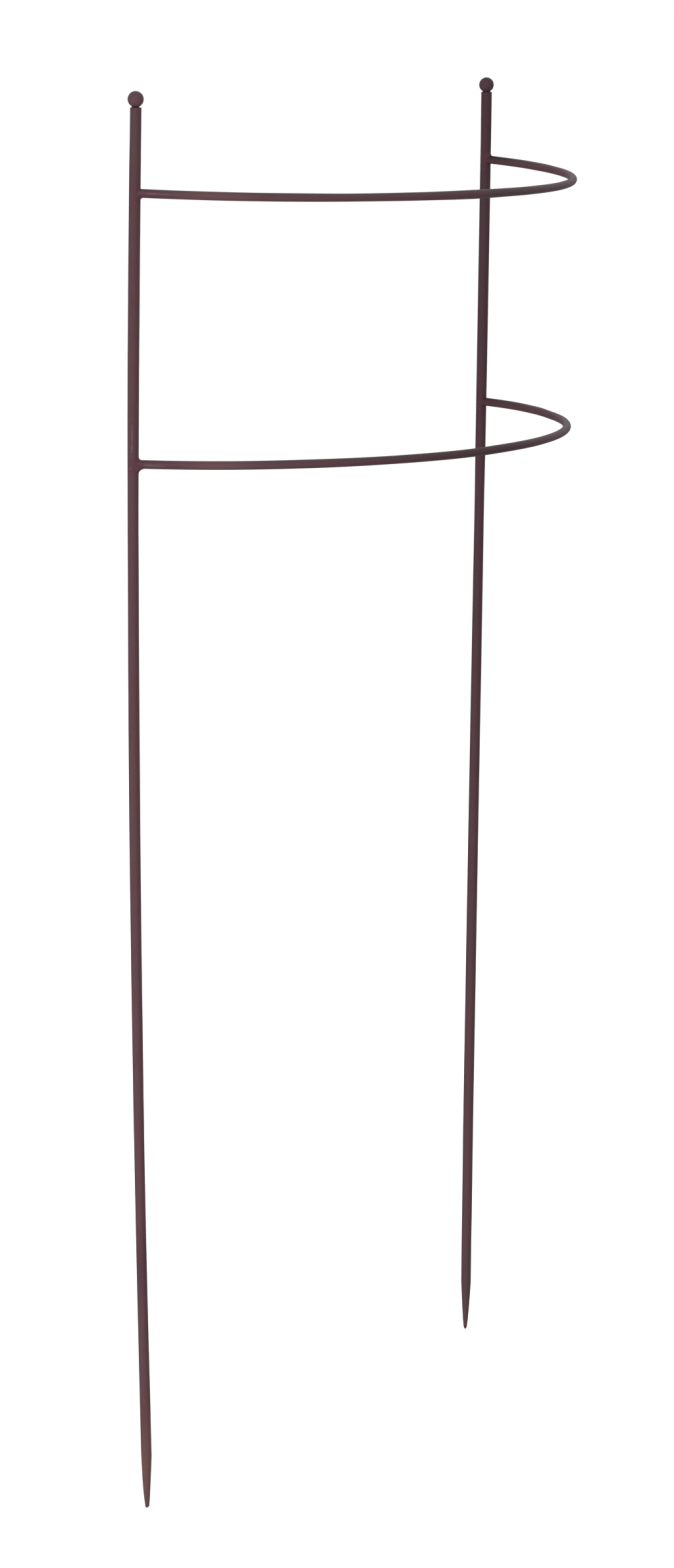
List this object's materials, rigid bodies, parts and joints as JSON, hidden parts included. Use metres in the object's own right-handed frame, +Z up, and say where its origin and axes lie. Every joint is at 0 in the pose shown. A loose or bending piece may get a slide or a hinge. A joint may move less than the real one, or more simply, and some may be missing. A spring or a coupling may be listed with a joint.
{
  "type": "arched plant support",
  "caption": "Half-round garden plant support: pointed steel stakes with arched hoops welded between them and a ball on each stake.",
  "frame": {"origin": "midway between the two stakes' axes, at the level of their points", "axes": "+X from the left stake to the right one, -Y the way the hoops reach out, +Z up the stakes"},
  "size_m": [0.5142, 0.1978, 1.1132],
  "materials": {
    "stake_coat": "satin rust-brown coat, mottled",
    "hoop_coat": "satin rust-brown coat, mottled",
    "ball_coat": "satin rust-brown coat",
    "weld_coat": "coat over a weld bead, duller"
  },
  "bodies": {
    "root": {"left_stake": "stake_coat", "right_stake": "stake_coat", "upper_hoop": "hoop_coat", "lower_hoop": "hoop_coat", "left_ball": "ball_coat", "right_ball": "ball_coat", "left_finial_weld": "weld_coat", "right_finial_weld": "weld_coat", "upper_left_weld": "weld_coat", "upper_right_weld": "weld_coat", "lower_left_weld": "weld_coat", "lower_right_weld": "weld_coat"}
  },
  "joints": []
}
